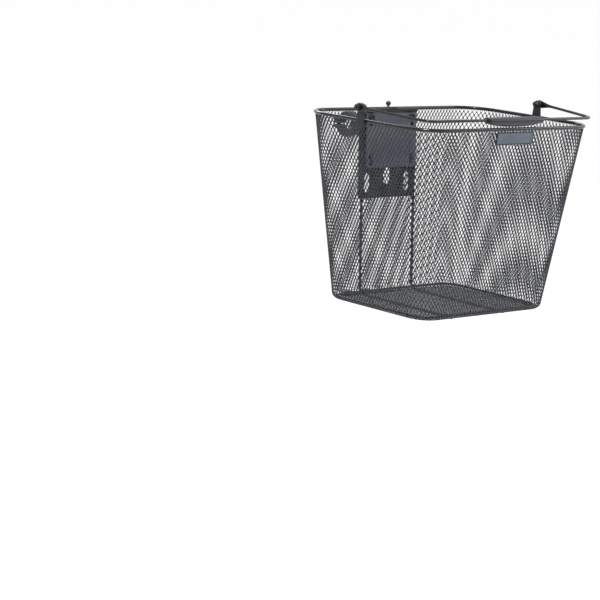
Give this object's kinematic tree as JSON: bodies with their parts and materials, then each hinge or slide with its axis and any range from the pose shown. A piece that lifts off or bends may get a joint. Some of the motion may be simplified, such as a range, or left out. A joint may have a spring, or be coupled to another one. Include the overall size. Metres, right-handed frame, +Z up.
{
  "type": "handlebar basket",
  "caption": "Black wire-mesh bicycle basket with a folding carrying handle, held on the handlebar by a clamp-on holder with hooks and a spring release pin.",
  "frame": {"origin": "the middle of the handlebar that the holder clamps, halfway between its two clamps", "axes": "+X along the handlebar towards the bicycle's left side, +Y towards the rider, +Z up; the basket hangs in front of the bar, towards -Y"},
  "size_m": [0.3788, 0.3358, 0.2923],
  "materials": {
    "mesh_coat": "semi-gloss blue-black powder coat on expanded steel mesh",
    "black_wire": "glossy black powder coat on steel wire",
    "plate_coat": "satin dark grey powder coat on pressed steel",
    "grey_label": "satin slate grey, left blank",
    "black_plastic": "fine-grained black nylon",
    "dark_zinc": "black zinc plated fasteners",
    "spring_steel": "bright spring steel",
    "black_rubber": "plain black rubber"
  },
  "bodies": {
    "holder": {"arm_screw_left_1": "dark_zinc", "arm_screw_left_2": "dark_zinc", "arm_screw_right_1": "dark_zinc", "arm_screw_right_2": "dark_zinc", "clamp_arm_left": "black_plastic", "clamp_arm_right": "black_plastic", "clamp_bolt_left_back": "dark_zinc", "clamp_bolt_left_front": "dark_zinc", "clamp_bolt_right_back": "dark_zinc", "clamp_bolt_right_front": "dark_zinc", "clamp_cap_left": "black_plastic", "clamp_cap_right": "black_plastic", "clamp_liner_left": "black_rubber", "clamp_liner_right": "black_rubber", "holder_plate": "plate_coat"},
    "basket": {"badge": "grey_label", "badge_backing": "plate_coat", "floor_wire": "black_wire", "handle_post_left": "plate_coat", "handle_post_right": "plate_coat", "inner_plate": "plate_coat", "mesh_floor": "mesh_coat", "mesh_walls": "mesh_coat", "outer_plate": "plate_coat", "pivot_bolt_left": "dark_zinc", "pivot_bolt_right": "dark_zinc", "pivot_bush_left": "black_plastic", "pivot_bush_right": "black_plastic", "pivot_nut_left": "dark_zinc", "pivot_nut_right": "dark_zinc", "pivot_washer_left": "dark_zinc", "pivot_washer_right": "dark_zinc", "plate_bolt_left": "dark_zinc", "plate_bolt_right": "dark_zinc", "plate_nut_left": "dark_zinc", "plate_nut_right": "dark_zinc", "plate_spacer_left": "dark_zinc", "plate_spacer_right": "dark_zinc", "rim_wire": "black_wire", "support_rod_left": "black_wire", "support_rod_right": "black_wire"},
    "release": {"release_foot": "dark_zinc", "release_knob": "black_plastic", "release_pin": "dark_zinc", "release_spring": "spring_steel"},
    "handle": {"grip_lower": "black_plastic", "grip_upper": "black_plastic", "handle_bail": "black_wire"}
  },
  "joints": [
    {"name": "basket_lift", "type": "slide", "parent": "holder", "child": "basket", "axis": [0, 0.0826, 0.9966], "range_m": [0, 0.0125]},
    {"name": "release_lift", "type": "slide", "parent": "holder", "child": "release", "axis": [0, 0.0826, 0.9966], "range_m": [0, 0.0125], "stiffness_N_per_m": 180, "springref_m": -0.012, "deforming": ["release_spring"]},
    {"name": "handle_hinge", "type": "hinge", "parent": "basket", "child": "handle", "pos_m": [0, -0.1839, 0.0483], "axis": [-1, 0, 0], "range_deg": [0, 180]}
  ],
  "couplings": [
    {"joint": "release_lift", "follows": "basket_lift", "ratio": 1}
  ]
}
